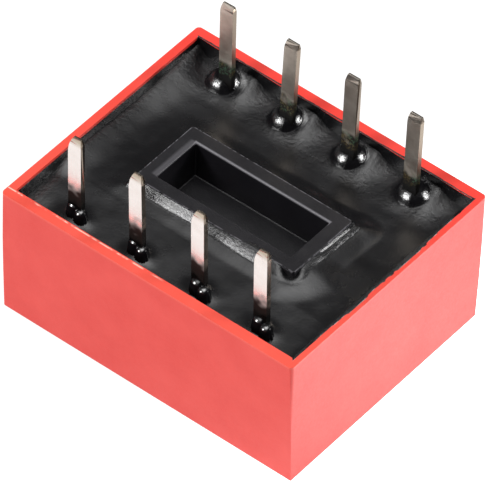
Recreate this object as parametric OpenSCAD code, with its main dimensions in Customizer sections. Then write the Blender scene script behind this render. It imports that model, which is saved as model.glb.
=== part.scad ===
// Four-way slide switch in a dual in-line package, lying on its slider face with its leads up.
// The origin is the centre of the slider face. X runs along the rows of leads, Y along the travel
// of the sliders towards "on", and Z up through the sealed underside. Sizes are in millimetres.

/* [Layout] */
// Distance between neighbouring switches, and between neighbouring leads
pitch = 2.54; // [2.44:0.01:2.62]
// Distance between the two rows of leads
row_spacing = 7.62; // [7.4:0.02:7.8]

/* [Housing] */
// Length of the housing along the rows
housing_len = 11.95; // [11.5:0.05:12.6]
// Width of the housing across the open rim
housing_width = 10; // [9.7:0.05:10.8]
// Height from the slider face to the rim
housing_height = 5.5; // [5.1:0.05:6.4]
// Draft of the two long sides in degrees, narrowing towards the slider face
side_draft = 2.3; // [0:0.1:3]
// Wall of the long sides
side_wall = 0.4; // [0.28:0.02:0.5]
// Wall of the two ends
end_wall = 0.3; // [0.2:0.02:0.4]
// Radius of the upright corners
corner_r = 0.15; // [0.05:0.01:0.25]
// Radius round the slider face
face_edge_r = 0.16; // [0.05:0.01:0.3]
// Thickness of the slider face
face_thick = 0.9; // [0.6:0.05:1.1]
// Thickness of the ribs between the slider lanes
lane_rib = 0.5; // [0.36:0.02:0.7]
// Chamfer round each slider window
window_chamfer = 0.12; // [0.04:0.01:0.2]

/* [Sliders] */
// Travel of a slider from off to on
travel = 1.6; // [1.2:0.05:1.8]
// Length of the knob along its travel
knob_len = 1.5; // [1.1:0.05:1.7]
// Width of the knob
knob_width = 1.15; // [0.9:0.05:1.35]
// Depth of the knob's top below the slider face
knob_recess = 0.12; // [0.06:0.02:0.3]
// Radius of the groove across the knob that takes a pen tip
groove_r = 0.5; // [0.35:0.05:0.6]
// Depth of that groove
groove_depth = 0.2; // [0.1:0.02:0.3]
// Thickness of the carriage that runs under the slider face
carriage_thick = 1.6; // [1.4:0.05:1.8]
// Overlap of the carriage over the window's edge at the end of its travel
window_cover = 0.1; // [0.05:0.01:0.2]
// Running clearance round a slider
slide_gap = 0.05; // [0.03:0.01:0.08]
// Radius of the carriage's upright corners
carriage_r = 0.12; // [0.05:0.01:0.2]

/* [Moving contact] */
// Distance between the two lines where a moving contact touches
contact_span = 3; // [2.7:0.05:3.3]
// Width of a moving contact
contact_width = 1.1; // [0.9:0.05:1.2]
// Thickness of its strip
contact_thick = 0.12; // [0.08:0.01:0.16]
// Radius of its rolled ends
roll_r = 0.15; // [0.11:0.01:0.2]
// Width of the slots that split its ends into fingers
finger_slot = 0.22; // [0.12:0.02:0.34]
// Length left unsplit across its middle
finger_root = 1.3; // [1:0.1:1.6]
// Depth of the pocket that holds it in the carriage
pocket_depth = 0.72; // [0.6:0.02:0.9]
// Clearance of the pocket round it
pocket_gap = 0.06; // [0.03:0.01:0.1]
// Radius of the peg that locates it
peg_r = 0.18; // [0.12:0.01:0.22]
// Height of that peg above the pocket's floor
peg_height = 0.26; // [0.2:0.02:0.4]
// Clearance of its hole round the peg
peg_gap = 0.03; // [0.02:0.01:0.05]
// Gap left at each touching line, where the real strip is sprung against its pad
touch_gap = 0.02; // [0.01:0.01:0.04]

/* [Base] */
// Thickness of the base's flange, from the sliders to the sealing resin
flange_thick = 1.4; // [1.1:0.05:1.5]
// Clearance of the base in the housing
base_gap = 0.03; // [0.02:0.01:0.06]
// Length of the raised collar
collar_len = 6.6; // [6:0.05:7]
// Width of the raised collar
collar_width = 3; // [2.8:0.05:3.5]
// Shift of the collar and its well along Y from the middle of the housing
collar_shift = -0.05; // [-0.1:0.01:0.1]
// Depth of the collar's top below the rim
collar_drop = 0.17; // [0.1:0.01:0.4]
// Wall of the collar along its length
collar_side_wall = 0.5; // [0.4:0.01:0.7]
// Wall of the collar at its ends
collar_end_wall = 0.54; // [0.4:0.01:0.7]
// Depth of the well inside the collar
well_depth = 1.5; // [1.1:0.05:1.9]
// Radius of the collar's upright corners
collar_r = 0.1; // [0.05:0.01:0.3]

/* [Terminals] */
// Width of a lead
lead_width = 0.53; // [0.45:0.01:0.6]
// Thickness of the terminal strip
lead_thick = 0.2; // [0.16:0.01:0.26]
// Reach of the leads beyond the rim
lead_reach = 3.14; // [2.8:0.02:3.6]
// Width of a contact pad
pad_width = 1; // [0.8:0.05:1.3]
// Radius inside the bend of a terminal
bend_r = 0.15; // [0.08:0.01:0.22]
// Distance from a row of leads to the shoulder where the strip widens into its pad
shoulder = 0.6; // [0.5:0.05:0.9]
// Length of pad beyond the touching line when the switch is on
pad_margin = 0.3; // [0.2:0.05:0.4]
// Distance from the touching line to the switched pad when the switch is off
off_gap = 0.5; // [0.35:0.05:0.7]
// Clearance of the terminals in the base
terminal_gap = 0.02; // [0.01:0.005:0.03]
// Height of the curved flanks of the leads' tips, on the row below "on" and on the row above it
flank_height = [0.75, 0.45];
// Radius of those flanks
flank_r = 1.6; // [1.2:0.1:2.4]
// Height of the chamfers on both faces of a tip
tip_chamfer = 0.22; // [0.1:0.02:0.3]
// Depth of those chamfers
tip_chamfer_depth = 0.055; // [0.02:0.005:0.07]
// Height above the rim's level, below zero, at which handling has bent the leads outwards
knee_drop = 0.1; // [0.04:0.01:0.14]
// Outward lean of each lead in degrees, from -X to +X, on the row below "on" and on the row above it
lead_splay = [[2.3, 2, 2.2, 2.4], [1.2, 1.6, 2.4, 1.4]];
// Lean of each lead towards +X in degrees, in the same order
lead_tilt = [[0.8, -0.4, 0, 0.6], [-1.6, 0.3, -1.2, -0.2]];

/* [Sealing resin] */
// Depth of the resin's level below the rim
fill_drop = 0.65; // [0.55:0.01:0.75]
// Climb of the resin up the two ends of the housing
end_climb = 0.3; // [0.1:0.05:0.45]
// Reach of that slope
end_reach = 1.2; // [0.8:0.05:1.2]
// Climb of the resin up the long sides, on the side below "on" and on the side above it
side_climb = [0.3, 0.15];
// Reach of those slopes
side_reach = [0.6, 0.5];
// Climb of the gentle slope round the collar
skirt_climb = 0.14; // [0.05:0.01:0.2]
// Reach of that slope, from the collar
skirt_reach = 1.1; // [0.7:0.05:1.1]
// Climb of the steep band between that slope and the collar
band_climb = 0.29; // [0.15:0.01:0.3]
// Breadth of the band
band_width = 0.29; // [0.2:0.01:0.4]
// Height of the mound round each lead, on the row below "on" and on the row above it
mound_height = [0.1, 0.3];
// Breadth of the mound's slope
mound_breadth = [0.3, 0.75];
// Climb of the resin from the mound up each lead
lead_climb = [0.45, 0.35];
// Reach of that climb away from the lead
lead_climb_reach = [0.25, 0.2];

/* [Hidden] */
$fn = 48;
SWITCHES = 4;
CURVE_STEPS = 6;
SLOPE_STEPS = 3;
LEAD_STEPS = 2;
CUT = 0.5;          // how far a cutting solid runs past the face it opens
KNEE_LAP = 0.02;    // how far a lead's free end starts inside its upright

// Heights
seat_z = face_thick + carriage_thick + 2 * slide_gap;    // where the base sits in the housing
flange_z = seat_z + flange_thick;
collar_z = housing_height - collar_drop;
well_z = collar_z - well_depth;
fill_z = housing_height - fill_drop;
knee_z = housing_height - knee_drop;
tip_z = housing_height + lead_reach;

// Lanes and windows
lane_width = pitch - lane_rib;
window_width = knob_width + 2 * slide_gap;
window_len = knob_len + travel + 2 * slide_gap;
carriage_len = window_len + travel + 2 * window_cover;
lane_len = carriage_len + travel + 2 * slide_gap;

// Places along Y
row_y = row_spacing / 2;
common_pad_y = (contact_span - travel) / 2 - pad_margin;
switched_pad_y = (contact_span - travel) / 2 + off_gap;

// Place of a switch along X, counted from 1 at the +X end, as its number reads from the slider face
function switch_x(number) = ((SWITCHES + 1) / 2 - number) * pitch;

// Half the housing's width, and half its recess, at height z
function outer_half(z) = housing_width / 2 - (housing_height - z) * tan(side_draft);
function recess_half(z) = outer_half(z) - side_wall / cos(side_draft);
recess_len = housing_len - 2 * end_wall;

function arc_points(centre, r, from, to) =
    [for (i = [0 : CURVE_STEPS]) let (a = from + (to - from) * i / CURVE_STEPS)
        centre + r * [cos(a), sin(a)]];
function mirrored(points) = [for (i = [len(points) - 1 : -1 : 0]) [-points[i].x, points[i].y]];

// Extrude a shape drawn in Y and Z along X, or one drawn in X and Z along Y, about the middle
module along_x(length) rotate([90, 0, 90]) linear_extrude(length, center = true) children();
module along_y(length) rotate([90, 0, 0]) linear_extrude(length, center = true) children();

// Box given by its lowest and highest corners
module block(low, high) translate(low) cube(high - low);

// Rectangle about the origin with rounded corners
module round_rect(size, r) difference() {
    square(size, center = true);
    for (x = [-1, 1], y = [-1, 1]) translate([x * (size.x / 2 - r), y * (size.y / 2 - r)]) difference() {
        translate([min(0, x) * (r + CUT), min(0, y) * (r + CUT)]) square(r + CUT);
        circle(r);
    }
}

// ---- housing ----

// Section across a long side: drafted, with rounded lower edges
module outer_section() {
    r = face_edge_r;
    foot = outer_half(0) - r / cos(side_draft) + r * tan(side_draft);
    side = concat(arc_points([foot, r], r, -90, -side_draft), [[outer_half(housing_height), housing_height]]);
    polygon(concat(side, mirrored(side)));
}

// Section along the housing: upright ends with rounded lower edges
module end_section() {
    r = face_edge_r;
    end = concat(arc_points([housing_len / 2 - r, r], r, -90, 0), [[housing_len / 2, housing_height]]);
    polygon(concat(end, mirrored(end)));
}

// The housing's recess between two heights, made smaller all round by a clearance
module recess(low, high, clearance) intersection() {
    translate([0, 0, low]) linear_extrude(high - low)
        square([recess_len - 2 * clearance, housing_width], center = true);
    along_x(housing_len) polygon([[-recess_half(low) + clearance, low], [recess_half(low) - clearance, low],
        [recess_half(high) - clearance, high], [-recess_half(high) + clearance, high]]);
}

// Window for one knob, chamfered towards the slider face
module window() {
    w = window_width / 2;
    l = window_len / 2;
    c = window_chamfer;
    block([-w, -l, -CUT], [w, l, face_thick + CUT]);
    intersection() {
        along_y(window_len + 4 * c) polygon([[-w - 2 * c, -c], [w + 2 * c, -c], [w, c], [-w, c]]);
        along_x(window_width + 4 * c) polygon([[-l - 2 * c, -c], [l + 2 * c, -c], [l, c], [-l, c]]);
    }
}

module housing() color([0.87, 0.23, 0.2]) difference() {
    intersection() {
        linear_extrude(housing_height) round_rect([housing_len, housing_width], corner_r);
        along_x(housing_len) outer_section();
        along_y(housing_width) end_section();
    }
    recess(seat_z, housing_height + CUT, 0);
    for (number = [1 : SWITCHES]) translate([switch_x(number), 0, 0]) {
        window();
        block([-lane_width / 2, -lane_len / 2, face_thick], [lane_width / 2, lane_len / 2, seat_z + CUT]);
    }
}

// ---- base ----

module collar_outline() translate([0, collar_shift]) round_rect([collar_len, collar_width], collar_r);

module base() color([0.16, 0.16, 0.17]) difference() {
    union() {
        recess(seat_z, flange_z, base_gap);
        translate([0, 0, seat_z]) linear_extrude(collar_z - seat_z) collar_outline();
    }
    translate([0, collar_shift, well_z]) linear_extrude(well_depth + CUT)
        square([collar_len - 2 * collar_end_wall, collar_width - 2 * collar_side_wall], center = true);
    for (number = [1 : SWITCHES]) {
        terminal_cut(switch_x(number), -1, common_pad_y);
        terminal_cut(switch_x(number), 1, switched_pad_y);
    }
}

// Groove for a terminal's pad and slot for its lead, on the row at side (-1 or 1)
module terminal_cut(x, side, pad_y) {
    g = terminal_gap;
    bend_y = row_y - lead_thick / 2 - bend_r;
    outer_y = row_y + lead_thick / 2 + g;
    top = seat_z + lead_thick + g;
    translate([x, 0, 0]) scale([1, side, 1]) {
        block([-pad_width / 2 - g, pad_y - g, seat_z - CUT], [pad_width / 2 + g, row_y - shoulder + g, top]);
        block([-lead_width / 2 - g, row_y - shoulder, seat_z - CUT], [lead_width / 2 + g, outer_y, top]);
        block([-lead_width / 2 - g, bend_y, seat_z - CUT],
              [lead_width / 2 + g, outer_y, seat_z + lead_thick + bend_r]);
        block([-lead_width / 2 - g, row_y - lead_thick / 2 - g, seat_z],
              [lead_width / 2 + g, outer_y, flange_z + CUT]);
    }
}

// ---- terminals ----

// Pad, bend and upright of a terminal on the +Y row
module terminal_strip(pad_y) {
    outer_r = bend_r + lead_thick;
    centre = [row_y + lead_thick / 2 - outer_r, seat_z + outer_r];
    block([-pad_width / 2, pad_y, seat_z], [pad_width / 2, row_y - shoulder, seat_z + lead_thick]);
    along_x(lead_width) {
        translate([row_y - shoulder - lead_thick, seat_z])
            square([centre.x - row_y + shoulder + lead_thick, lead_thick]);
        intersection() {
            translate(centre) difference() {
                circle(outer_r);
                circle(bend_r);
            }
            translate([centre.x, seat_z]) square(outer_r);
        }
        translate([row_y - lead_thick / 2, centre.y]) square([lead_thick, knee_z - centre.y]);
    }
}

// Free end of a lead, standing on the origin, with curved flanks and both faces chamfered at its tip
module blade(length, flank) intersection() {
    along_y(2 * lead_thick) difference() {
        translate([-lead_width / 2, 0]) square([lead_width, length]);
        flank_cut(length, flank);
        mirror([1, 0]) flank_cut(length, flank / 2);
    }
    along_x(2 * lead_width) polygon([[-lead_thick / 2, 0], [lead_thick / 2, 0],
        [lead_thick / 2, length - tip_chamfer], [lead_thick / 2 - tip_chamfer_depth, length],
        [-lead_thick / 2 + tip_chamfer_depth, length], [-lead_thick / 2, length - tip_chamfer]]);
}

// What a curved flank takes off the -X side of a blade
module flank_cut(length, flank) translate([flank_r - lead_width / 2, length - flank]) difference() {
    translate([-flank_r - CUT, 0]) square([flank_r + CUT, flank + CUT]);
    circle(flank_r, $fn = 96);
}

// Terminal at place 0 to 3 from -X, on the row at side (-1 or 1)
module terminal(place, side, pad_y) color([0.8, 0.76, 0.72]) {
    row = (side + 1) / 2;
    translate([(place - (SWITCHES - 1) / 2) * pitch, 0, 0]) {
        scale([1, side, 1]) terminal_strip(pad_y);
        translate([0, side * row_y, knee_z])
            rotate([-side * lead_splay[row][place], lead_tilt[row][place], 0])
                translate([0, 0, -KNEE_LAP]) blade(tip_z - knee_z + KNEE_LAP, flank_height[row]);
    }
}

// ---- sealing resin ----

// Slope that rises from one level by a climb, as the points of one side of a section, from
// half + reach away from the middle to half
function slope_points(half, reach, level, climb, steps = SLOPE_STEPS) =
    [for (i = [0 : steps]) let (t = i / steps) [half + reach * (1 - t), level + climb * t * t]];

// Slope that begins and ends level
function mound_points(half, reach, level, climb) =
    [for (i = [0 : SLOPE_STEPS]) let (t = i / SLOPE_STEPS)
        [half + reach * (1 - t), level + climb * t * t * (3 - 2 * t)]];

// Side of the empty space over the resin, with a wall half away from the middle
function void_points(half, reach, climb) =
    concat(slope_points(half, -reach, fill_z, climb),
           [[half + CUT, fill_z + climb], [half + CUT, housing_height + CUT]]);

module fill_void() {
    ends = void_points(recess_len / 2, end_reach, end_climb);
    sides = [for (i = [0, 1])
        void_points(recess_half(fill_z + side_climb[i]), side_reach[i], side_climb[i])];
    intersection() {
        along_y(2 * housing_width) polygon(concat(ends, mirrored(ends)));
        along_x(2 * housing_len) polygon(concat(sides[1], mirrored(sides[0])));
    }
}

// Half a section across the collar's skirt and band, begun a little under the resin's level
function collar_points(half) =
    concat([[half + skirt_reach, fill_z - fill_drop / 4]],
           slope_points(half + band_width, skirt_reach - band_width, fill_z, skirt_climb),
           [[half, fill_z + skirt_climb + band_climb]]);

module collar_slope() translate([0, collar_shift, 0]) intersection() {
    long = collar_points(collar_len / 2);
    cross = collar_points(collar_width / 2);
    along_y(housing_width) polygon(concat(long, mirrored(long)));
    along_x(housing_len) polygon(concat(cross, mirrored(cross)));
}

// Mound round a lead and the resin's climb up it, begun a little under the resin's level
module lead_slope(row) {
    half = lead_width / 2;
    top = fill_z + mound_height[row];
    mound = mound_points(half + lead_climb_reach[row], mound_breadth[row], fill_z, mound_height[row]);
    climb = slope_points(half, lead_climb_reach[row], top, lead_climb[row], LEAD_STEPS);
    low = fill_z - fill_drop / 4;
    rotate_extrude()
        polygon(concat([[0, low], [mound[0].x, low]], mound, [for (i = [1 : LEAD_STEPS]) climb[i]],
                       [[0, top + lead_climb[row]]]));
}

module seal() color([0.1, 0.1, 0.11]) difference() {
    intersection() {
        recess(flange_z, housing_height, 0);
        union() {
            difference() {
                translate([0, 0, flange_z]) linear_extrude(housing_height - flange_z)
                    square([housing_len, housing_width], center = true);
                fill_void();
            }
            collar_slope();
            for (number = [1 : SWITCHES], row = [0, 1])
                translate([switch_x(number), (2 * row - 1) * row_y, 0]) lead_slope(row);
        }
    }
    translate([0, 0, flange_z - CUT]) linear_extrude(housing_height - flange_z + 2 * CUT) collar_outline();
    for (number = [1 : SWITCHES], side = [-1, 1])
        translate([switch_x(number) - lead_width / 2, side * row_y - lead_thick / 2, flange_z - CUT])
            cube([lead_width, lead_thick, housing_height - flange_z + 2 * CUT]);
}

// ---- sliders ----

carriage_low_z = face_thick + slide_gap;
carriage_high_z = seat_z - slide_gap;
pocket_z = carriage_high_z - pocket_depth;

module slider(number) color([0.93, 0.93, 0.9]) translate([switch_x(number), -travel / 2, 0]) {
    carriage_width = lane_width - 2 * slide_gap;
    difference() {
        union() {
            block([-knob_width / 2, -knob_len / 2, knob_recess], [knob_width / 2, knob_len / 2, carriage_low_z + carriage_thick / 4]);
            translate([0, 0, carriage_low_z]) linear_extrude(carriage_thick)
                round_rect([carriage_width, carriage_len], carriage_r);
        }
        translate([0, 0, knob_recess + groove_depth - groove_r]) rotate([0, 90, 0])
            cylinder(r = groove_r, h = 2 * knob_width, center = true);
        block([-contact_width / 2 - pocket_gap, -contact_span / 2 - roll_r - pocket_gap, pocket_z],
              [contact_width / 2 + pocket_gap, contact_span / 2 + roll_r + pocket_gap, carriage_high_z + CUT]);
    }
    translate([0, 0, pocket_z - peg_height]) cylinder(r = peg_r, h = 2 * peg_height);
}

// ---- moving contacts ----

module moving_contact(number) color([0.85, 0.7, 0.35]) translate([switch_x(number), -travel / 2, 0]) {
    half = contact_span / 2;
    roll_z = seat_z - touch_gap - roll_r;
    sag = roll_z - pocket_z - contact_thick / 2;
    bow_r = (half * half + sag * sag) / (2 * sag);
    bow_z = roll_z - sag + bow_r;
    difference() {
        along_x(contact_width) {
            intersection() {
                translate([0, bow_z]) difference() {
                    circle(bow_r + contact_thick / 2, $fn = 96);
                    circle(bow_r - contact_thick / 2, $fn = 96);
                }
                polygon([[0, bow_z], 2 * [-half, roll_z - bow_z] + [0, bow_z], 2 * [half, roll_z - bow_z] + [0, bow_z]]);
            }
            for (side = [-1, 1]) translate([side * half, roll_z]) circle(roll_r);
        }
        translate([0, 0, pocket_z - CUT]) cylinder(r = peg_r + peg_gap, h = peg_height + CUT);
        for (side = [0, 1]) mirror([0, side, 0])
            block([-finger_slot / 2, finger_root / 2, pocket_z - CUT], [finger_slot / 2, contact_span, seat_z + CUT]);
    }
}

housing();
base();
seal();
slider(1);  // slider_1
slider(2);  // slider_2
slider(3);  // slider_3
slider(4);  // slider_4
moving_contact(1);  // moving_contact_1
moving_contact(2);  // moving_contact_2
moving_contact(3);  // moving_contact_3
moving_contact(4);  // moving_contact_4
terminal(3, -1, common_pad_y);  // terminal_1
terminal(2, -1, common_pad_y);  // terminal_2
terminal(1, -1, common_pad_y);  // terminal_3
terminal(0, -1, common_pad_y);  // terminal_4
terminal(0, 1, switched_pad_y);  // terminal_5
terminal(1, 1, switched_pad_y);  // terminal_6
terminal(2, 1, switched_pad_y);  // terminal_7
terminal(3, 1, switched_pad_y);  // terminal_8
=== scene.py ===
import math
import bpy
from mathutils import Matrix, Vector, noise


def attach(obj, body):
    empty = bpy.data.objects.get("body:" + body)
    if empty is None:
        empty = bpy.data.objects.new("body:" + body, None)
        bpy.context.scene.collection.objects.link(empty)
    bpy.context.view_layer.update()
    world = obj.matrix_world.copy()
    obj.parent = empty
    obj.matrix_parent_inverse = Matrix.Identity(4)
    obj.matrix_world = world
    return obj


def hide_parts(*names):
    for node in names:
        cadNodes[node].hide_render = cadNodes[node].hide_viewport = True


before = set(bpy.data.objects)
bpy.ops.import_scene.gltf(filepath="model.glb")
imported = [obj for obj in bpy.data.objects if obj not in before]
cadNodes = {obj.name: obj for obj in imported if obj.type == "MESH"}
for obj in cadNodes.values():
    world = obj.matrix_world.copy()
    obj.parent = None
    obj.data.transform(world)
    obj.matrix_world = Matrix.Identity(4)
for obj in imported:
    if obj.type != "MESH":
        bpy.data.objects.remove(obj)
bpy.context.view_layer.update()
mm = 0.001
# sizes in mm that several pieces share
layout = {
    "inside": (5.675, 4.6), "rim": 5.5,     # half the opening inside the rim, and the rim's height
    # half the collar and half its well, how far both lie along Y, and the collar's height
    "collar": (3.3, 1.5), "well": (2.76, 1.0), "shift": -0.05, "top": 5.33,
    "pitch": 2.54, "row": 3.81,     # spacing of the leads, and half that of their rows
}
print("frame is loaded:", len(cadNodes), "nodes")


# tools for node trees, where a value is a number, a colour or the output of another node
def newMaterial(name, **constants):
    material = bpy.data.materials.new(name)
    material.use_nodes = True
    shader = material.node_tree.nodes["Principled BSDF"]
    for socket, value in constants.items():
        shader.inputs[socket.replace("_", " ")].default_value = value
    return material, material.node_tree, shader


def addNode(tree, kind, inputs=(), **settings):
    node = tree.nodes.new("ShaderNode" + kind)
    for key, value in settings.items():
        setattr(node, key, value)
    for socket, value in dict(inputs).items():
        if isinstance(value, bpy.types.NodeSocket):
            tree.links.new(value, node.inputs[socket])
        else:
            node.inputs[socket].default_value = value
    return node


def objectPlace(tree):
    return addNode(tree, "TexCoord").outputs["Object"]


def axesOf(tree, vector):
    parts = addNode(tree, "SeparateXYZ", {0: vector}).outputs
    return parts["X"], parts["Y"], parts["Z"]


def noiseOf(tree, place, size, detail=3.0, rough=0.5, stretch=None):
    # size is the spacing of the pattern in mm, stretch makes it longer along an axis
    if stretch:
        place = addNode(tree, "Mapping", {"Vector": place, "Scale": tuple(1 / s for s in stretch)}).outputs[0]
    return addNode(tree, "TexNoise", {"Vector": place, "Scale": 1 / (size * mm), "Detail": detail,
                                      "Roughness": rough}).outputs["Fac"]


def rangeOf(tree, value, ends, toFirst=0.0, toSecond=1.0, unit=1, smooth=False):
    # gives toFirst where the value is at the first of its two ends, and toSecond at the second
    return addNode(tree, "MapRange", {"Value": value, "From Min": ends[0] * unit, "From Max": ends[1] * unit,
                                      "To Min": toFirst, "To Max": toSecond},
                   interpolation_type="SMOOTHSTEP" if smooth else "LINEAR").outputs["Result"]


def mathOf(tree, operation, a, b=0.0, c=None):
    inputs = {0: a, 1: b}
    if c is not None:
        inputs[2] = c
    return addNode(tree, "Math", inputs, operation=operation).outputs[0]


def absOf(tree, value):
    return mathOf(tree, "ABSOLUTE", value)


def productOf(tree, total, *others):
    for other in others:
        total = mathOf(tree, "MULTIPLY", total, other)
    return total


def highestOf(tree, highest, *others):
    for other in others:
        highest = mathOf(tree, "MAXIMUM", highest, other)
    return highest


def vectorMath(tree, operation, a, b=(0, 0, 0), output="Value"):
    return addNode(tree, "VectorMath", {0: a, 1: b}, operation=operation).outputs[output]


def mixOf(tree, factor, a, b):
    node = addNode(tree, "Mix", data_type="RGBA")
    for socket, value in ((node.inputs["Factor"], factor), (node.inputs[6], a), (node.inputs[7], b)):
        if isinstance(value, bpy.types.NodeSocket):
            tree.links.new(value, socket)
        else:
            socket.default_value = (*value, 1) if isinstance(value, tuple) else value
    return node.outputs[2]


def bumpOf(tree, height, distance, strength=1.0, normal=None):
    inputs = {"Height": height, "Distance": distance * mm, "Strength": strength}
    if normal is not None:
        inputs["Normal"] = normal
    return addNode(tree, "Bump", inputs).outputs["Normal"]


def makeGrainGroup():
    # moulded or cast skin: a fine grain for bump, and a slow mottle for tone and gloss
    group = bpy.data.node_groups.new("skinGrain", "ShaderNodeTree")
    patterns = {"Grain": (4.0, 0.6), "Mottle": (3.0, 0.55)}     # detail and roughness of each
    for label in patterns:
        group.interface.new_socket(label + " Scale", in_out="INPUT", socket_type="NodeSocketFloat")
    for label in patterns:
        group.interface.new_socket(label, in_out="OUTPUT", socket_type="NodeSocketFloat")
    start = group.nodes.new("NodeGroupInput")
    end = group.nodes.new("NodeGroupOutput")
    place = objectPlace(group)
    for label, (detail, rough) in patterns.items():
        pattern = addNode(group, "TexNoise", {"Vector": place, "Scale": start.outputs[label + " Scale"],
                                              "Detail": detail, "Roughness": rough})
        group.links.new(pattern.outputs["Fac"], end.inputs[label])
    return group


skinGrain = makeGrainGroup()
mostNoise = (0.3, 0.7)     # nearly all of a noise lies between these


def grainOf(tree, grainSize, mottleSize):
    # sizes in mm; gives the grain and the mottle
    node = addNode(tree, "Group", node_tree=skinGrain)
    node.inputs["Grain Scale"].default_value = 1 / (grainSize * mm)
    node.inputs["Mottle Scale"].default_value = 1 / (mottleSize * mm)
    return node.outputs["Grain"], node.outputs["Mottle"]


cameraSetup = {
    "azimuth": 37.473, "elevation": 45.98, "roll": 2.189,     # degrees
    "distance": 269.98 * mm, "lens": 619.33, "sensor": 36.0, "clip": (10 * mm, 5.0),
    "target": Vector((0, 0, 4.048 * mm)),
    "slide": (0.0326 * mm, -0.5221 * mm),     # right and up, from the target
}


def makeCamera(setup):
    turn, lift, tilt = (math.radians(setup[k]) for k in ("azimuth", "elevation", "roll"))
    back = Vector((math.sin(turn) * math.cos(lift), -math.cos(turn) * math.cos(lift), math.sin(lift)))
    level = Vector((math.cos(turn), math.sin(turn), 0))
    upright = back.cross(level)
    right = level * math.cos(tilt) + upright * math.sin(tilt)
    up = upright * math.cos(tilt) - level * math.sin(tilt)
    place = setup["target"] + back * setup["distance"] + right * setup["slide"][0] + up * setup["slide"][1]
    data = bpy.data.cameras.new("camera")
    data.lens, data.sensor_width = setup["lens"], setup["sensor"]
    data.clip_start, data.clip_end = setup["clip"]
    camera = bpy.data.objects.new("camera", data)
    camera.matrix_world = Matrix((
        (right.x, up.x, back.x, place.x), (right.y, up.y, back.y, place.y),
        (right.z, up.z, back.z, place.z), (0, 0, 0, 1)))
    bpy.context.scene.collection.objects.link(camera)
    bpy.context.scene.camera = camera


# each soft box stands where "towards" points from the aim, and "glow" is how bright its face is
softBoxes = {
    "boxFront": {"towards": (-0.44, -0.74, 0.51), "across": 95 * mm, "glow": 29.0},
    "boxRight": {"towards": (0.72, 0.56, 0.42), "across": 95 * mm, "glow": 26.0},
}
softBoxAim = {"aim": Vector((0, 0, 4 * mm)), "distance": 350 * mm}
# the room is dim, and a wide soft light overhead is brightest straight above
surroundings = {"room": 0.08, "overhead": 3.4, "overheadFrom": 0.71, "seen": 1.1}


def makeSoftBox(name, setup, place):
    data = bpy.data.lights.new(name, "AREA")
    data.shape = "SQUARE"
    data.size = setup["across"]
    data.energy = setup["glow"] * math.pi * setup["across"] ** 2
    box = bpy.data.objects.new(name, data)
    towards = Vector(setup["towards"]).normalized()
    box.location = towards * place["distance"] + place["aim"]
    box.rotation_euler = towards.to_track_quat("Z", "Y").to_euler()
    bpy.context.scene.collection.objects.link(box)


def makeSurroundings(setup):
    world = bpy.data.worlds.new("studio")
    bpy.context.scene.world = world
    world.use_nodes = True
    tree = world.node_tree
    upward = axesOf(tree, addNode(tree, "TexCoord").outputs["Generated"])[2]
    rise = rangeOf(tree, upward, (setup["overheadFrom"], 1.0))
    light = mathOf(tree, "MULTIPLY_ADD", productOf(tree, rise, rise), setup["overhead"], setup["room"])
    # what the camera sees behind the floor is as white as the floor
    seen = addNode(tree, "LightPath").outputs["Is Camera Ray"]
    glow = addNode(tree, "Mix", {"Factor": seen, "A": light, "B": setup["seen"]}).outputs["Result"]
    tree.links.new(glow, tree.nodes["Background"].inputs["Color"])


makeCamera(cameraSetup)
for boxName, boxSetup in softBoxes.items():
    makeSoftBox(boxName, boxSetup, softBoxAim)
makeSurroundings(surroundings)
bpy.context.scene.view_settings.view_transform = "Standard"
print("camera and lights are set")

# in the dictionaries of the materials, "grain" is the size of the grain and of the mottle in mm, "bump" the
# grain's height in mm and its strength, and "rough" the least and the greatest roughness; a pair of places
# or heights in mm is where something begins and where it is whole
redLook = {
    "deep": (0.78, 0.036, 0.024), "pale": (0.84, 0.056, 0.042), "rim": (0.87, 0.086, 0.056),
    "rough": (0.34, 0.46), "grain": (0.09, 1.3), "bump": (0.006, 0.5),
    # the rim's top is painted lighter, painted light as if shining through the thin rim, more and more
    # towards the front; a dashed painted highlight runs beside it
    "rimHeights": (5.38, 5.46), "rimAlongY": (4.4, -4.6), "rimLeast": 0.15,
    "paintedEdgeHighlight": (0.95, 0.52, 0.42), "edgeHighlightY": -4.66, "edgeHighlightHalf": (0.035, 0.014), "edgeHighlightEndX": (0.6, 0.1),
    "dashSize": 0.5, "dashes": (0.44, 0.54),
}


def makeRed(look):
    material, tree, shader = newMaterial("redMoulded", IOR=1.5)
    grain, mottle = grainOf(tree, *look["grain"])
    place = objectPlace(tree)
    x, y, z = axesOf(tree, place)
    # painted light: the rim's top is painted lighter, as light coming through the thin rim, most along the
    # front
    paintedRimLight = productOf(tree, rangeOf(tree, z, look["rimHeights"], unit=mm),
                      rangeOf(tree, y, look["rimAlongY"], look["rimLeast"], 1.0, unit=mm))
    shell = mixOf(tree, rangeOf(tree, mottle, mostNoise), look["deep"], look["pale"])
    plain = mixOf(tree, paintedRimLight, shell, look["rim"])
    # a broken pale painted highlight runs beside the resin along part of the front rim
    besideEdgeHighlight = absOf(tree, mathOf(tree, "SUBTRACT", y, look["edgeHighlightY"] * mm))
    dashes = rangeOf(tree, noiseOf(tree, place, look["dashSize"], 4.0, 0.7), look["dashes"])
    paintedEdgeHighlight = productOf(tree, rangeOf(tree, besideEdgeHighlight, look["edgeHighlightHalf"], unit=mm), dashes, paintedRimLight,
                     rangeOf(tree, x, look["edgeHighlightEndX"], unit=mm))
    tree.links.new(mixOf(tree, paintedEdgeHighlight, plain, look["paintedEdgeHighlight"]), shader.inputs["Base Color"])
    tree.links.new(rangeOf(tree, grain, mostNoise, *look["rough"]), shader.inputs["Roughness"])
    tree.links.new(bumpOf(tree, grain, *look["bump"]), shader.inputs["Normal"])
    return material


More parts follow.
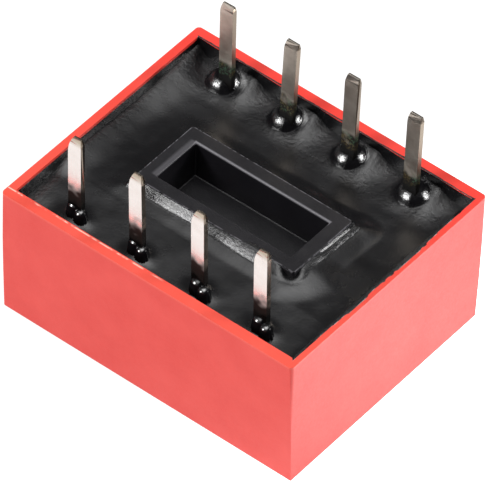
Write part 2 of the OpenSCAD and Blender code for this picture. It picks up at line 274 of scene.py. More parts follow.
blackLook = {
    "dark": (0.005, 0.0045, 0.006), "light": (0.011, 0.010, 0.013), "lightFrom": (0.35, 0.7),
    "rough": (0.30, 0.44), "grain": (0.05, 0.8), "bump": (0.012, 0.6),
    # painted highlights on the edges: depths below the collar's top; width of the line on the well's edge,
    # where along Y it
    # grows strong and its strength before; width of the dashed line on the collar's edge
    "paintedHighlights": (0.16, 0.155, 0.17), "highlightDepths": (0.10, 0.06),
    "wellLine": 0.07, "strongY": (0.8, 0.95), "faint": 0.08,
    "collarLine": 0.035, "dashSize": 0.12, "dashes": (0.42, 0.56),
    # band of painted highlight on the collar's top at its -X end: where it begins and ends along X, half its
    # length
    "bandBegins": (-3.0, -2.9), "bandEnds": (-2.70, -2.74), "bandHalf": (1.04, 0.98), "bandStrength": 0.35,
}


def edgeMask(tree, x, y, half, width):
    # 1 near the outline of a rectangle, down to 0 at a distance of width in mm
    alongX = mathOf(tree, "SUBTRACT", absOf(tree, x), half[0] * mm)
    alongY = mathOf(tree, "SUBTRACT", absOf(tree, y), half[1] * mm)
    return rangeOf(tree, absOf(tree, highestOf(tree, alongX, alongY)), (width, 0.3 * width), unit=mm)


def makeBlack(look):
    material, tree, shader = newMaterial("blackMoulded", IOR=1.5)
    grain, mottle = grainOf(tree, *look["grain"])
    place = objectPlace(tree)
    x, y, z = axesOf(tree, place)
    y = mathOf(tree, "SUBTRACT", y, layout["shift"] * mm)
    # painted highlights: a line round the well's edge, strong on its far side, a dashed line round the
    # collar's outer edge, and a band at the -X end
    onTop = rangeOf(tree, z, [layout["top"] - depth for depth in look["highlightDepths"]], unit=mm)
    wellEdge = productOf(tree, edgeMask(tree, x, y, layout["well"], look["wellLine"]),
                         rangeOf(tree, y, look["strongY"], look["faint"], 1.0, unit=mm))
    dashes = rangeOf(tree, noiseOf(tree, place, look["dashSize"], 2.0), look["dashes"])
    outerEdge = productOf(tree, edgeMask(tree, x, y, layout["collar"], look["collarLine"]), dashes)
    band = productOf(tree, rangeOf(tree, x, look["bandBegins"], 0.0, look["bandStrength"], unit=mm),
                     rangeOf(tree, x, look["bandEnds"], unit=mm),
                     rangeOf(tree, absOf(tree, y), look["bandHalf"], unit=mm))
    paintedHighlights = productOf(tree, highestOf(tree, wellEdge, outerEdge, band), onTop)
    skin = mixOf(tree, rangeOf(tree, grain, look["lightFrom"]), look["dark"], look["light"])
    tree.links.new(mixOf(tree, paintedHighlights, skin, look["paintedHighlights"]), shader.inputs["Base Color"])
    tree.links.new(rangeOf(tree, mottle, mostNoise, *look["rough"]), shader.inputs["Roughness"])
    tree.links.new(bumpOf(tree, grain, *look["bump"]), shader.inputs["Normal"])
    return material


resinLook = {
    "dark": (0.0030, 0.0028, 0.0034), "light": (0.0062, 0.0060, 0.0070), "rough": (0.21, 0.29),
    "roughFrom": (0.35, 0.65), "grain": (0.06, 0.9), "bump": (0.006, 0.7),
    # lumps: their size and height; they are strong by the end walls, the back wall and the collar, and a
    # share of them is all over
    "lumps": (0.14, 0.02), "lumpsX": (5.2, 5.6), "lumpsY": (2.8, 3.4), "lumpsByCollar": 0.4,
    "lumpsShare": 0.12,
    # clear flux gleams round the leads, between heights on the back row and higher up on the front row
    "fluxIor": 2.2, "fluxRough": 0.24, "fluxAway": (0.70, 0.62), "frontHigher": 0.25,
    "gleamAbove": (5.03, 5.11), "gleamBelow": (5.27, 5.21), "dullAbove": (5.22, 5.28),
    "shine": (0.5, 0.05),     # of clean and of dull resin
    # the beads of the front row are dull where they face +X, or little upwards
    "dullRight": (0.42, 0.55), "dullSteep": (0.58, 0.50),
    # the feet of the back row are dull low down, and where they face between their two gleams
    "footMiddle": (-0.11, 0.21), "footAway": (0.78, 0.62), "dullLow": 0.7,
    "facing": (0.707, -0.707, 0), "dullFacing": (0.84, 0.92),
}


def makeResin(look):
    material, tree, shader = newMaterial("resinPoured", IOR=1.66, Coat_IOR=look["fluxIor"],
                                         Coat_Roughness=look["fluxRough"])
    grain, mottle = grainOf(tree, *look["grain"])
    place = objectPlace(tree)
    x, y, z = axesOf(tree, place)
    tree.links.new(mixOf(tree, mottle, look["dark"], look["light"]), shader.inputs["Base Color"])
    tree.links.new(rangeOf(tree, mottle, look["roughFrom"], *look["rough"]), shader.inputs["Roughness"])

    byCollar = edgeMask(tree, x, mathOf(tree, "SUBTRACT", y, layout["shift"] * mm), layout["collar"],
                        look["lumpsByCollar"])
    coarse = highestOf(tree, rangeOf(tree, absOf(tree, x), look["lumpsX"], unit=mm),
                       rangeOf(tree, y, look["lumpsY"], unit=mm), byCollar)
    coarse = mathOf(tree, "ADD", coarse, look["lumpsShare"])
    lumpSize, lumpHeight = look["lumps"]
    uneven = productOf(tree, noiseOf(tree, place, lumpSize, 4.0, 0.65), coarse)
    fine = bumpOf(tree, grain, *look["bump"])
    tree.links.new(bumpOf(tree, uneven, lumpHeight, normal=fine), shader.inputs["Normal"])
    tree.links.new(bumpOf(tree, uneven, lumpHeight), shader.inputs["Coat Normal"])

    # place beside the nearest lead
    pitch = layout["pitch"] * mm
    besideX = mathOf(tree, "FRACT", mathOf(tree, "DIVIDE", x, pitch))
    besideX = productOf(tree, mathOf(tree, "SUBTRACT", besideX, 0.5), pitch)
    besideY = mathOf(tree, "SUBTRACT", absOf(tree, y), layout["row"] * mm)
    beside = addNode(tree, "CombineXYZ", {"X": besideX, "Y": besideY}).outputs[0]
    atLead = rangeOf(tree, vectorMath(tree, "LENGTH", beside), look["fluxAway"], unit=mm)
    onFront, onBack = rangeOf(tree, y, (1, -1), unit=mm), rangeOf(tree, y, (-1, 1), unit=mm)
    height = mathOf(tree, "SUBTRACT", z, productOf(tree, onFront, look["frontHigher"] * mm))

    faceX, faceY, faceZ = axesOf(tree, addNode(tree, "TexCoord").outputs["Normal"])
    facesRight, isSteep = rangeOf(tree, faceX, look["dullRight"]), rangeOf(tree, faceZ, look["dullSteep"])
    frontFlank = productOf(tree, highestOf(tree, facesRight, isSteep), onFront)
    level = addNode(tree, "CombineXYZ", {"X": faceX, "Y": faceY}).outputs[0]
    level = vectorMath(tree, "NORMALIZE", level, output="Vector")
    between = vectorMath(tree, "DOT_PRODUCT", level, look["facing"])
    lowDown = rangeOf(tree, height, look["gleamAbove"], look["dullLow"], 0.0, unit=mm)
    footMiddle = (look["footMiddle"][0] * mm, look["footMiddle"][1] * mm, 0)
    onFoot = rangeOf(tree, vectorMath(tree, "DISTANCE", beside, footMiddle), look["footAway"], unit=mm)
    backFlank = highestOf(tree, lowDown, rangeOf(tree, between, look["dullFacing"]))
    backFlank = productOf(tree, backFlank, onBack, onFoot)
    onTop = rangeOf(tree, height, look["dullAbove"], unit=mm)
    dull = highestOf(tree, productOf(tree, highestOf(tree, onTop, frontFlank), atLead), backFlank)
    gleam = productOf(tree, rangeOf(tree, height, look["gleamAbove"], unit=mm),
                      rangeOf(tree, height, look["gleamBelow"], unit=mm), atLead,
                      mathOf(tree, "SUBTRACT", 1.0, backFlank), mathOf(tree, "SUBTRACT", 1.0, frontFlank))
    tree.links.new(gleam, shader.inputs["Coat Weight"])
    tree.links.new(rangeOf(tree, dull, (0.0, 1.0), *look["shine"]), shader.inputs["Specular IOR Level"])
    return material


tinLook = {
    # painted shade: the back row's plate is darker and browner than the front row's, standing in for the dim
    # surroundings it mirrors
    "front": (0.86, 0.80, 0.77), "frontDull": (0.80, 0.73, 0.69), "back": (0.62, 0.56, 0.49),
    "backShadedDull": (0.46, 0.40, 0.34), "rough": (0.20, 0.28), "backRough": 0.16, "grain": (0.06, 0.5),
    # streaks: width and height in mm, and how many times as long as wide along each axis
    "streaks": (0.05, 0.0012), "streakStretch": (1, 1, 14),
    "lean": 4.5,     # degrees that the coined faces lean back
    # painted shade: the front row's tips turn tan-grey towards the top
    "tip": (0.50, 0.42, 0.33), "tipHeights": (8.30, 8.55),
    # the sheared sides are darker: partly duller sheared metal, partly painted shade
    "shearedAndShaded": (0.20, 0.155, 0.11), "shearedFrom": (0.75, 0.9), "shearedShare": 0.85,
    # the stain at the foot, its heights on each row, and the size and height of the waves along its edge
    "stain": (0.015, 0.012, 0.011), "frontStain": (6.75, 6.05), "backStain": (6.45, 5.95),
    "waves": (0.4, 0.9),
    # how metallic and shiny the plate is, and over what part of the stain it loses that
    "metal": 0.96, "metalFades": (0.0, 0.8), "shine": (0.5, 0.08), "shineFades": (0.3, 1.0),
    # the crust in the stain of the back row begins above a wet black foot
    "crust": (0.09, 0.068, 0.03), "moss": (0.045, 0.085, 0.055), "mossFrom": (0.45, 0.55),
    "crustSize": 0.07, "crustSpecks": (0.48, 0.6), "crustHeights": (5.55, 5.75),
    "foot": (0.004, 0.0036, 0.0034),
}


def makeTin(look):
    material, tree, shader = newMaterial("tinPlate")
    place = objectPlace(tree)
    x, y, z = axesOf(tree, place)
    faceX, faceY, faceZ = axesOf(tree, addNode(tree, "TexCoord").outputs["Normal"])
    onBack = rangeOf(tree, y, (-1, 1), unit=mm)
    mottle = grainOf(tree, *look["grain"])[1]
    worn = rangeOf(tree, mottle, mostNoise)
    front = mixOf(tree, worn, look["front"], look["frontDull"])
    # painted shade on the front row's tips
    front = mixOf(tree, rangeOf(tree, z, look["tipHeights"], unit=mm), front, look["tip"])
    # painted shade: the back row takes its darker, browner plate
    plate = mixOf(tree, onBack, front, mixOf(tree, worn, look["back"], look["backShadedDull"]))
    # the sheared sides are painted darker: partly duller sheared metal, partly painted shade
    shearedAndShaded = rangeOf(tree, absOf(tree, faceX), look["shearedFrom"], 0.0, look["shearedShare"])
    plate = mixOf(tree, shearedAndShaded, plate, look["shearedAndShaded"])
    # flux and resin stain the foot, with a crust on the back row
    waveSize, waveHeight = look["waves"]
    waves = mathOf(tree, "MULTIPLY_ADD", noiseOf(tree, place, waveSize, 1.0), waveHeight * mm,
                   -waveHeight * mm / 2)
    height = mathOf(tree, "ADD", z, waves)
    frontStain, backStain = (rangeOf(tree, height, look[row], unit=mm, smooth=True)
                             for row in ("frontStain", "backStain"))
    stain = addNode(tree, "Mix", {"Factor": onBack, "A": frontStain, "B": backStain}).outputs["Result"]
    specks = rangeOf(tree, noiseOf(tree, place, look["crustSize"], 2.0), look["crustSpecks"])
    crust = mixOf(tree, rangeOf(tree, mottle, look["mossFrom"]), look["crust"], look["moss"])
    dirt = mixOf(tree, productOf(tree, specks, onBack), look["stain"], crust)
    dirt = mixOf(tree, rangeOf(tree, height, look["crustHeights"], unit=mm), look["foot"], dirt)
    tree.links.new(mixOf(tree, stain, plate, dirt), shader.inputs["Base Color"])
    tree.links.new(rangeOf(tree, stain, look["metalFades"], look["metal"], 0.0), shader.inputs["Metallic"])
    shine = rangeOf(tree, stain, look["shineFades"], *look["shine"])
    tree.links.new(shine, shader.inputs["Specular IOR Level"])
    streakWidth, streakHeight = look["streaks"]
    streaks = noiseOf(tree, place, streakWidth, 3.0, 0.6, look["streakStretch"])
    rough = rangeOf(tree, streaks, mostNoise, *look["rough"])
    tree.links.new(mathOf(tree, "MULTIPLY_ADD", onBack, look["backRough"], rough), shader.inputs["Roughness"])
    lean = productOf(tree, absOf(tree, faceY), -math.tan(math.radians(look["lean"])))
    scratches = mathOf(tree, "MULTIPLY_ADD", streaks, streakHeight * mm, productOf(tree, z, lean))
    # at a distance of 1 m the bump is as high as its pattern says
    tree.links.new(bumpOf(tree, scratches, 1 / mm), shader.inputs["Normal"])
    return material


plainLooks = {
    "whiteMoulded": {"colours": ((0.80, 0.79, 0.75), (0.72, 0.71, 0.66)), "rough": (0.34, 0.46),
                     "grain": (0.08, 0.7), "bump": (0.005, 0.5), "metal": 0.0},
    "whiteInk": {"colours": ((0.84, 0.83, 0.80), (0.74, 0.73, 0.70)), "rough": (0.5, 0.65),
                 "grain": (0.08, 0.7), "bump": (0.005, 0.5), "metal": 0.0},
    "goldPlate": {"colours": ((0.90, 0.66, 0.30), (0.80, 0.56, 0.25)), "rough": (0.18, 0.32),
                  "grain": (0.05, 0.4), "bump": (0.002, 0.5), "metal": 1.0},
}


def makePlain(name, look):
    material, tree, shader = newMaterial(name, IOR=1.5, Metallic=look["metal"])
    grain, mottle = grainOf(tree, *look["grain"])
    tree.links.new(mixOf(tree, mottle, *look["colours"]), shader.inputs["Base Color"])
    tree.links.new(rangeOf(tree, grain, mostNoise, *look["rough"]), shader.inputs["Roughness"])
    tree.links.new(bumpOf(tree, grain, *look["bump"]), shader.inputs["Normal"])
    return material


red = makeRed(redLook)
black = makeBlack(blackLook)
resin = makeResin(resinLook)
tin = makeTin(tinLook)
white, ink, gold = (makePlain(name, look) for name, look in plainLooks.items())
nodeMaterials = {"housing": red, "base": black, "seal": resin, "slider": white, "moving_contact": gold,
                 "terminal": tin}
for nodeName, cadNode in cadNodes.items():
    kind = nodeName.rstrip("_12345678")     # its name without a number
    cadNode.data.materials.clear()
    cadNode.data.materials.append(nodeMaterials[kind])
print("materials are made")


# tools for pieces
def selectOnly(piece):
    bpy.ops.object.select_all(action="DESELECT")
    piece.select_set(True)
    bpy.context.view_layer.objects.active = piece


sameHeight, samePoint = 0.01, 0.0005     # in mm: what differs by less counts as the same


def joinPoints(piece):
    # points that fall together are joined, so that no face without an area is left
    selectOnly(piece)
    bpy.ops.object.mode_set(mode="EDIT")
    bpy.ops.mesh.select_all(action="SELECT")
    bpy.ops.mesh.remove_doubles(threshold=samePoint * mm)
    bpy.ops.object.mode_set(mode="OBJECT")


def wholeCopy(node, name, flat=0.8):
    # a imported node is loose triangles, so its copy is merged into whole faces, flat within some degrees
    piece = bpy.data.objects.new(name, cadNodes[node].data.copy())
    bpy.context.scene.collection.objects.link(piece)
    selectOnly(piece)
    bpy.ops.mesh.customdata_custom_splitnormals_clear()
    bpy.ops.object.mode_set(mode="EDIT")
    bpy.ops.mesh.select_all(action="SELECT")
    bpy.ops.mesh.remove_doubles(threshold=samePoint * mm)
    bpy.ops.mesh.dissolve_limited(angle_limit=math.radians(flat))
    bpy.ops.object.mode_set(mode="OBJECT")
    return piece


def applyModifier(piece, kind, **settings):
    modifier = piece.modifiers.new(kind.lower(), kind)
    for key, value in settings.items():
        setattr(modifier, key, value)
    selectOnly(piece)
    bpy.ops.object.modifier_apply(modifier=modifier.name)


def softenEdges(piece, width, angle, segments=2):
    applyModifier(piece, "BEVEL", width=width, segments=segments, limit_method="ANGLE",
                  angle_limit=math.radians(angle), use_clamp_overlap=True)


def smoothUpTo(piece, angle, flatFaces=True):
    selectOnly(piece)
    bpy.ops.object.shade_smooth_by_angle(angle=math.radians(angle))
    if flatFaces:     # large flat faces keep their own shading beside a rounded edge
        applyModifier(piece, "WEIGHTED_NORMAL", mode="FACE_AREA", weight=80, keep_sharp=True)


def bevelWhere(piece, wanted, width, segments, sharpFrom=30):
    # rounds the sharp edges whose middle point, in mm, passes "wanted"
    selectOnly(piece)
    bpy.ops.object.mode_set(mode="EDIT")
    bpy.ops.mesh.select_mode(type="EDGE")
    bpy.ops.mesh.select_all(action="DESELECT")
    bpy.ops.mesh.edges_select_sharp(sharpness=math.radians(sharpFrom))
    bpy.ops.object.mode_set(mode="OBJECT")
    points = piece.data.vertices
    for edge in piece.data.edges:
        middle = (points[edge.vertices[0]].co + points[edge.vertices[1]].co) / 2 / mm
        edge.select = edge.select and wanted(middle)
    bpy.ops.object.mode_set(mode="EDIT")
    bpy.ops.mesh.bevel(offset=width, segments=segments, affect="EDGES", clamp_overlap=True)
    bpy.ops.object.mode_set(mode="OBJECT")


def dress(piece, material, body, slot, *replaced):
    piece.data.materials.clear()
    piece.data.materials.append(material)
    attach(piece, body)
    if replaced:
        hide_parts(*replaced)


# in the dictionaries of the pieces, an edge is the width of its rounding, "sharp" the degrees from which an
# edge is rounded, and "smooth" the degrees up to which faces are shaded as one
housingSetup = {
    "outside": (5.975, 5.0), "outerBand": 0.12,     # in mm: half the rim, and how near it an edge is outer
    "rimEdge": 0.09 * mm, "innerEdge": 0.03 * mm, "otherEdges": 0.03 * mm, "sharp": 40, "smooth": 35,
}


def makeHousing(setup):
    piece = wholeCopy("housing", "housingShell")
    outX, outY = (half - setup["outerBand"] for half in setup["outside"])
    atRim = layout["rim"] - sameHeight
    bevelWhere(piece, lambda p: p.z > atRim and (abs(p.x) > outX or abs(p.y) > outY), setup["rimEdge"], 4)
    bevelWhere(piece, lambda p: p.z > atRim, setup["innerEdge"], 2)
    softenEdges(piece, setup["otherEdges"], setup["sharp"])
    joinPoints(piece)
    smoothUpTo(piece, setup["smooth"])
    dress(piece, red, "case", "housing_red", "housing")


makeHousing(housingSetup)
print("housing is made")

baseSetup = {"wellBand": 0.02, "wellEdge": 0.08 * mm, "otherEdges": 0.03 * mm, "smooth": 35}     # band in mm


def makeBase(setup):
    piece = wholeCopy("base", "baseMoulding")
    wellX, wellY = (half + setup["wellBand"] for half in layout["well"])
    onTop = layout["top"] - sameHeight
    bevelWhere(piece, lambda p: p.z > onTop and abs(p.x) < wellX and abs(p.y - layout["shift"]) < wellY,
               setup["wellEdge"], 3)
    bevelWhere(piece, lambda p: p.z > onTop, setup["otherEdges"], 2)
    smoothUpTo(piece, setup["smooth"])
    dress(piece, black, "case", "base_black", "base")


makeBase(baseSetup)
print("base is made")

# sizes, places and heights of the resin are in mm; a pair of places is where something begins and is whole,
# and waves are given by height, spacing and a seed
resinShape = {
    "bottom": 4.02, "level": 4.83,
    "edge": (5.905, 4.92), "hole": (3.05, 1.25),     # half of the whole piece, and of the hole for the collar
    # slope up to each wall: climb, reach, and the height where the steep film on the wall ends
    "walls": {"left": (0.18, 1.02, 5.38), "right": (0.05, 0.8, 5.5), "front": (-0.01, 1.3, 5.46),
              "back": (0.02, 0.9, 5.5)},
    "film": 0.03,
    # along the left wall the climb begins, and climb and reach change by an amount between places along Y
    "leftBegins": (-2.8, -2.0), "leftClimbs": ((0.10, (1.2, 3.4)), (0.05, (2.8, 4.0))),
    "leftReaches": ((0.35, (1.2, 3.2)), (-0.80, (3.15, 4.55))),
    "frontClimbs": ((-0.08, (-4.2, -5.0)),),     # the same along the front wall, between places along X
    # how far the resin laps over the rim, or ends short of it; then more of it at the middle of the right end
    "lap": {"left": -0.02, "right": 0.11, "front": -0.03, "back": 0.07}, "lapMore": (0.06, (2.9, 2.3)),
    "lapWaves": (0.02, 1 / 0.9, 5.2), "lapRagged": (0.015, 0.2, 1.4),
    # the lapping film stands proud of the rim, and elsewhere lies hidden in it, with a short edge between
    "filmHidden": 0.04, "filmProud": 0.012, "filmEdge": 0.02,
    "frontTilt": (0.11, (-4.6, -2.4), (1.5, -1.5)),     # rise behind the front wall, and where it fades again
    # skirt: mound round the collar, whole up to "start" from it and gone at "end"; it changes towards +X, at
    # the corner of +X and -Y, and towards the back of the right side
    "skirt": {"corner": 0.8, "start": 0.20, "end": 0.85, "height": 0.05,
              "toRight": (2.2, 3.4), "toFront": (0, -1.1), "startRight": -0.08,
              "endRight": (0.10, (2.6, 3.4)), "endCorner": 0.40,
              "heightAlong": (0.10, (-2.5, 2.0)), "heightRight": (0.05, (2.2, 3.2)),
              "heightBack": (0.03, (-1.8, -0.4)), "heightCorner": 0.03},
    # steep band between the skirt and the collar; it is wider and higher at the front right, and falls back
    # along the +X end
    "band": {"corner": 0.3, "reach": 0.25, "top": 5.28, "toRight": (-0.5, 1.5), "toFront": (-1, -1.4),
             "wider": 0.08, "higher": 0.05,
             "endTop": 0.01, "endFalls": ((-0.065, (-0.5, 0.1)), (-0.05, (0.6, 1.4)))},
    "squareness": 3.5,     # of the lines of equal distance, apart from the corner of +X and -Y
    "notch": {"place": (3.12, -1.50), "half": 0.30, "deep": 0.14},     # small void at that corner
    "leadHalf": 0.265,     # half a lead's width
    # mounds run from the back wall down past the leads, each a little to the right of its lead
    "backMound": {"height": 0.34, "reach": 0.48, "along": (2.88, 4.75), "aside": 0.22},
    # feet of the back leads: a round top, and from some distance a straight flank; the middle is beside the
    # lead, and moves with the lead's X
    "backFoot": {"radius": 0.64, "flankFrom": 0.53, "slope": 1.7, "middle": (-0.112, 0.21, 4.72),
                 "splay": 0.031},
    "frontFoot": {"height": 0.18, "half": (0.45, 0.32)},     # humps at the front leads
    # beads on them: place beside the lead, and radius; those at the leads with x > 0 are shifted
    "frontBeads": (((-0.11, 0.05, 5.27), 0.26), ((0.222, -0.057, 5.178), 0.22)), "beadShift": (0.09, -0.10),
    "ripples": ((0.010, 1.1, 3.7), (0.005, 1.1 / 2.3, 9.1)),     # waves all over
    # spacing of the mesh; finer spacing beside the leads and the rim, and how far from them along X and Y
    "coarse": 0.05, "atLeads": (0.03, 0.5, 0.45), "atRim": (0.015, 0.1), "smooth": 42,
}
tiny = 1e-9     # in mm


def spacedLine(low, high, coarse, fineParts, fixed):
    # from low to high in coarse steps, or in fine ones near some middles; a fixed place gets a line where it
    # is less than 1.4 steps away
    places, at = [low], low
    while at < high - tiny:
        step = coarse
        for middles, fine, half in fineParts:
            if any(abs(at - m) < half + tiny for m in middles):
                step = min(step, fine)
        ends = [f for f in fixed + [high] if at + tiny < f < at + 1.4 * step]
        at = ends[0] if ends else at + step
        places.append(at)
    return places


def along(value, ends):
    # how far a value has gone from the first to the second of two places, from 0 to 1
    return min(max((value - ends[0]) / (ends[1] - ends[0]), 0.0), 1.0)


def ease(value, ends):
    # the same, with a level start and end
    t = along(value, ends)
    return t * t * (3 - 2 * t)


def changesOf(value, changes):
    return sum(amount * ease(value, ends) for amount, ends in changes)


def wave(x, y, waves):
    height, spacing, seed = waves
    return height * noise.noise(Vector((x / spacing, y / spacing, seed)))


def collarDistance(x, y, corner, shape):
    # distance outside the collar's outline, with lines of equal distance that stay nearly square
    dx = abs(x) - layout["collar"][0]
    dy = abs(y - layout["shift"]) - layout["collar"][1]
    if x > 0 > y:     # at this corner they are round
        return max(math.hypot(max(dx + corner, 0), max(dy + corner, 0)) - corner, 0)
    square = shape["squareness"]
    return (max(dx, 0) ** square + max(dy, 0) ** square) ** (1 / square)


def lapOver(x, y, shape):
    # how far the resin laps over the rim from its inner edge
    if abs(x) - layout["inside"][0] > abs(y) - layout["inside"][1]:
        more = changesOf(abs(y), [shape["lapMore"]]) if x > 0 else 0
        return shape["lap"]["right" if x > 0 else "left"] + more + wave(x, y, shape["lapWaves"])
    return shape["lap"]["back" if y > 0 else "front"] + wave(x, y, shape["lapWaves"])


leadPlaces = [place * layout["pitch"] for place in (-1.5, -0.5, 0.5, 1.5)]


def leadOffsets(x, y):
    return [(x - place, abs(y) - layout["row"]) for place in leadPlaces]


def wallSlopes(x, y, gaps, shape):
    total = 0
    for name, (climb, reach, top) in shape["walls"].items():
        if name == "left":
            climb = climb * ease(y, shape["leftBegins"]) + changesOf(y, shape["leftClimbs"])
            reach += changesOf(y, shape["leftReaches"])
        if name == "front":
            climb += changesOf(x, shape["frontClimbs"])
        total += climb * math.exp(-3 * (gaps[name] / reach) ** 2)     # nearly gone at its reach
    return total


def skirtHeight(x, y, shape):
    skirt = shape["skirt"]
    away = collarDistance(x, y, skirt["corner"], shape)
    toRight = ease(x, skirt["toRight"])
    atCorner = toRight * ease(y, skirt["toFront"])
    start = skirt["start"] + skirt["startRight"] * toRight
    end = skirt["end"] + changesOf(x, [skirt["endRight"]]) + skirt["endCorner"] * atCorner
    most, alongX = skirt["heightAlong"]
    right, rightX = skirt["heightRight"]
    height = skirt["height"] + most * along(x, alongX) + skirt["heightCorner"] * atCorner
    height += ease(x, rightX) * (right + changesOf(y, [skirt["heightBack"]]))
    return height * (0.5 + 0.5 * math.cos(math.pi * along(away, (start, end))))


def withBand(x, y, ground, shape):
    # the height where the steep band and the notch are laid over the ground
    band, notch = shape["band"], shape["notch"]
    frontRight = ease(x, band["toRight"]) * ease(y, band["toFront"])
    away = collarDistance(x, y, band["corner"], shape)
    share = max(1 - away / (band["reach"] + band["wider"] * frontRight), 0)
    top = band["top"] + band["higher"] * frontRight
    if x > layout["collar"][0]:
        top += band["endTop"] + changesOf(y, band["endFalls"])
    fromNotch = math.hypot(x - notch["place"][0], y - notch["place"][1])
    pit = math.exp(-(fromNotch / notch["half"]) ** 2)
    return ground + (top - ground) * share * (1 - pit) - notch["deep"] * pit


def footHeight(dx, dy, leadX, shape):
    foot = shape["backFoot"]
    middleX, middleY, middleZ = foot["middle"]
    away = math.hypot(dx - middleX - foot["splay"] * leadX, dy - middleY)
    onTop = min(away, foot["flankFrom"])
    return middleZ + math.sqrt(foot["radius"] ** 2 - onTop ** 2) - foot["slope"] * (away - onTop)


def beadHeight(dx, dy, leadX, shape):
    # top of the beads there, or nothing where there are none
    heights = []
    shiftX, shiftY = shape["beadShift"] if leadX > 0 else (0, 0)
    for (beadX, beadY, beadZ), radius in shape["frontBeads"]:
        rest = radius ** 2 - (dx - beadX - shiftX) ** 2 - (-dy - beadY - shiftY) ** 2
        if rest > 0:
            heights.append(beadZ + math.sqrt(rest))
    return max(heights, default=0)


def resinHeight(x, y, shape):
    halfX, halfY = layout["inside"]
    past = max(abs(x) - halfX, abs(y) - halfY)
    if past > 0:
        reach = lapOver(x, y, shape) + wave(x, y, shape["lapRagged"]) - past
        proud = (shape["filmHidden"] + shape["filmProud"]) * ease(reach, (0, shape["filmEdge"]))
        return layout["rim"] - shape["filmHidden"] + proud
    gaps = {"left": halfX + x, "right": halfX - x, "front": halfY + y, "back": halfY - y}
    rise, risesY, fadesY = shape["frontTilt"]
    height = shape["level"] + wallSlopes(x, y, gaps, shape) + skirtHeight(x, y, shape)
    height += rise * along(y, risesY) * ease(y, fadesY)
    height = withBand(x, y, height, shape)
    mound, hump = shape["backMound"], shape["frontFoot"]
    for dx, dy in leadOffsets(x, y):
        if y > 0:
            gapX = max(abs(dx - mound["aside"]) - shape["leadHalf"], 0)
            height += mound["height"] * math.exp(-(gapX / mound["reach"]) ** 2) * ease(y, mound["along"])
        else:
            height += hump["height"] * math.exp(-(dx / hump["half"][0]) ** 2 - (dy / hump["half"][1]) ** 2)
    height += sum(wave(x, y, ripple) for ripple in shape["ripples"])
    for dx, dy in leadOffsets(x, y):
        atLead = footHeight if y > 0 else beadHeight
        height = max(height, atLead(dx, dy, x - dx, shape))
    for name, (climb, reach, top) in shape["walls"].items():
        if gaps[name] < shape["film"]:
            height = max(height, top + (height - top) * gaps[name] / shape["film"])
    return height


def makeResinPiece(shape):
    halfX, halfY = shape["edge"]
    insideX, insideY = layout["inside"]
    fine, besideX, besideY = shape["atLeads"]
    rimX, rimY, rows = [-insideX, insideX], [-insideY, insideY], [-layout["row"], layout["row"]]
    xs = spacedLine(-halfX, halfX, shape["coarse"],
                    [(leadPlaces, fine, besideX), (rimX, *shape["atRim"])], rimX)
    ys = spacedLine(-halfY, halfY, shape["coarse"],
                    [(rows, fine, besideY), (rimY, *shape["atRim"])], rimY)
    bpy.ops.object.select_all(action="DESELECT")
    bpy.ops.mesh.primitive_grid_add(x_subdivisions=len(xs) - 1, y_subdivisions=len(ys) - 1, size=2)
    piece = bpy.context.object
    piece.name = "resinFill"
    vertices = piece.data.vertices
    for v in vertices:
        i = round((v.co.x + 1) / 2 * (len(xs) - 1))
        j = round((v.co.y + 1) / 2 * (len(ys) - 1))
        v.co = (xs[i] * mm, ys[j] * mm, resinHeight(xs[i], ys[j], shape) * mm)
    # the hole for the collar is cut out
    bpy.ops.object.mode_set(mode="EDIT")
    bpy.ops.mesh.select_all(action="DESELECT")
    bpy.ops.object.mode_set(mode="OBJECT")
    holeX, holeY = (half * mm for half in shape["hole"])
    for face in piece.data.polygons:
        face.select = abs(face.center.x) < holeX and abs(face.center.y) < holeY
    bpy.ops.object.mode_set(mode="EDIT")
    bpy.ops.mesh.select_mode(type="FACE")
    bpy.ops.mesh.delete(type="FACE")
    # its sides go down to the base, and its underside is closed
    bpy.ops.mesh.select_mode(type="EDGE")
    bpy.ops.mesh.select_all(action="DESELECT")
    bpy.ops.mesh.select_non_manifold(extend=False, use_wire=False, use_boundary=True,
                                     use_multi_face=False, use_non_contiguous=False, use_verts=False)
    bpy.ops.mesh.extrude_edges_move(TRANSFORM_OT_translate={"value": (0, 0, -0.3 * mm)})
    bpy.ops.object.mode_set(mode="OBJECT")
    for v in vertices:
        if v.select:
            v.co.z = shape["bottom"] * mm
    bpy.ops.object.mode_set(mode="EDIT")
    bpy.ops.mesh.fill(use_beauty=True)
    bpy.ops.mesh.select_all(action="SELECT")
    bpy.ops.mesh.normals_make_consistent(inside=False)
    bpy.ops.object.mode_set(mode="OBJECT")
    smoothUpTo(piece, shape["smooth"], flatFaces=False)
    dress(piece, resin, "case", "resin_black", "seal")
    print("resin has", len(piece.data.polygons), "faces")


makeResinPiece(resinShape)
print("resin is made")

# faces count as flat within some degrees, and within more on the one lead that is a little twisted
leadSetup = {"edge": 0.022 * mm, "sharp": 30, "smooth": 40, "flat": 0.8, "twisted": 5, "twistedFlat": 3.0}


def makeLead(number, setup):
    flat = setup["twistedFlat"] if number == setup["twisted"] else setup["flat"]
    piece = wholeCopy("terminal_%d" % number, "lead%d" % number, flat)
    softenEdges(piece, setup["edge"], setup["sharp"])
    smoothUpTo(piece, setup["smooth"])
    dress(piece, tin, "case", "terminal_tin", "terminal_%d" % number)


for leadNumber in range(1, 9):
    makeLead(leadNumber, leadSetup)
print("leads are made")

sliderSetup = {"edge": 0.04 * mm, "sharp": 40, "smooth": 35}


def makeSlider(number, setup):
    piece = wholeCopy("slider_%d" % number, "sliderBar%d" % number)
    softenEdges(piece, setup["edge"], setup["sharp"])
    smoothUpTo(piece, setup["smooth"])
    dress(piece, white, "switch_%d" % number, "slider_white", "slider_%d" % number)


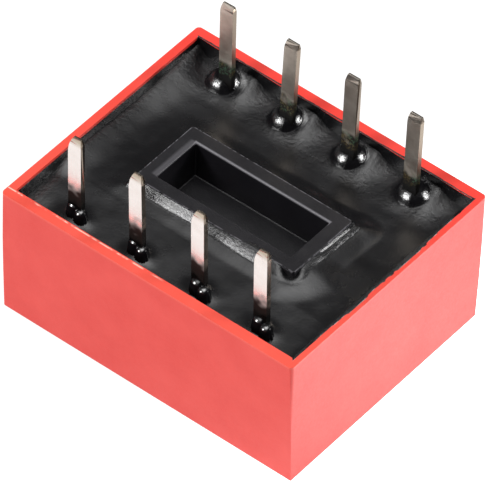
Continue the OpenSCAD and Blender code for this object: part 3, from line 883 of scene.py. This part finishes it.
for sliderNumber in range(1, 5):
    makeSlider(sliderNumber, sliderSetup)
print("sliders are made")

# lettering printed on the slider face
letteringSetup = {     # in mm: middle of each label, size of the type, how far the ink stands proud
    "labels": {"ON": (3.81, 2.75), "1": (3.81, -2.75), "2": (1.27, -2.75), "3": (-1.27, -2.75),
               "4": (-3.81, -2.75)},
    "size": 1.7, "weight": 0.035, "proud": 0.01,
}


def makeLabel(text, place, setup):
    # it is read from below, so it is turned over about Y
    bpy.ops.object.select_all(action="DESELECT")
    bpy.ops.object.text_add(location=(0, 0, 0))
    label = bpy.context.object
    label.name = "label" + text
    letters = label.data
    letters.body, letters.align_x, letters.align_y = text, "CENTER", "CENTER"
    letters.size, letters.offset, letters.extrude = (setup[k] * mm for k in ("size", "weight", "proud"))
    bpy.ops.object.convert(target="MESH")
    joinPoints(label)
    bpy.ops.object.mode_set(mode="EDIT")
    bpy.ops.mesh.select_all(action="SELECT")
    bpy.ops.mesh.normals_make_consistent(inside=False)
    bpy.ops.object.mode_set(mode="OBJECT")
    for v in label.data.vertices:
        v.co = (place[0] * mm - v.co.x, place[1] * mm + v.co.y, -v.co.z)
    dress(label, ink, "case", "slider_white")


for labelText, labelPlace in letteringSetup["labels"].items():
    makeLabel(labelText, labelPlace, letteringSetup)
print("lettering is made")

floorLook = {
    "size": 4.0, "drop": 0.03 * mm, "tone": 0.1, "rough": 0.9,
    "glow": 1.0, "spill": 0.62,     # its glow, and the share of it that lights the switch
    # a brighter patch: its middle, where it begins and is whole, and how much it adds
    "patch": {"middle": (12.5 * mm, 4 * mm), "away": (17, 3), "glow": 1.5},
}


def makeFloor(look):
    bpy.ops.object.select_all(action="DESELECT")
    bpy.ops.mesh.primitive_plane_add(size=look["size"], location=(0, 0, -look["drop"]))
    floor = bpy.context.object
    floor.name = "floor"
    tone, patch = look["tone"], look["patch"]
    material, tree, shader = newMaterial(
        "paleFloor", Roughness=look["rough"], Base_Color=(tone, tone, tone, 1),
        Emission_Color=(1, 1, 1, 1), Specular_IOR_Level=0.0)
    middle = (*patch["middle"], -look["drop"])
    away = vectorMath(tree, "DISTANCE", objectPlace(tree), middle)
    glow = rangeOf(tree, away, patch["away"], look["glow"], look["glow"] + patch["glow"], mm, True)
    lights = addNode(tree, "LightPath").outputs["Is Diffuse Ray"]
    share = rangeOf(tree, lights, (0.0, 1.0), 1.0, look["spill"])
    tree.links.new(productOf(tree, glow, share), shader.inputs["Emission Strength"])
    floor.data.materials.append(material)


makeFloor(floorLook)
